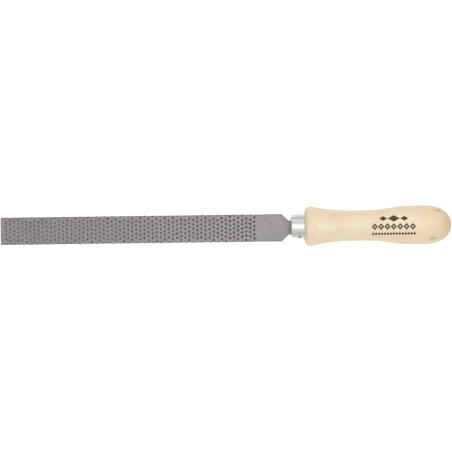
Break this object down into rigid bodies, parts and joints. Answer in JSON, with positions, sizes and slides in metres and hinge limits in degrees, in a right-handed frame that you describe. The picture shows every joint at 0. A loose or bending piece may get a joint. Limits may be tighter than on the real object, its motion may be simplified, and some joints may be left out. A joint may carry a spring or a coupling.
{
  "type": "wood rasp",
  "caption": "Flat hand rasp: parallel steel blade punched with staggered pointed teeth, smooth heel, tapered tang, metal ferrule and turned pale wood handle.",
  "frame": {"origin": "on the tool's axis, in the plane of the handle's front shoulder face", "axes": "+X along the tool from the tip towards the handle's butt, +Z square to the blade's upper flat, +Y across the blade"},
  "size_m": [0.3986, 0.0356, 0.0356],
  "materials": {
    "blade_steel": "hardened bare steel, matt grey where punched and lightly brushed on the heel",
    "ferrule_metal": "bright drawn steel, nickel plated and polished",
    "handle_wood": "turned pale beech, sanded smooth with a thin satin lacquer"
  },
  "bodies": {
    "root": {"blade": "blade_steel", "ferrule": "ferrule_metal", "handle": "handle_wood"}
  },
  "joints": []
}
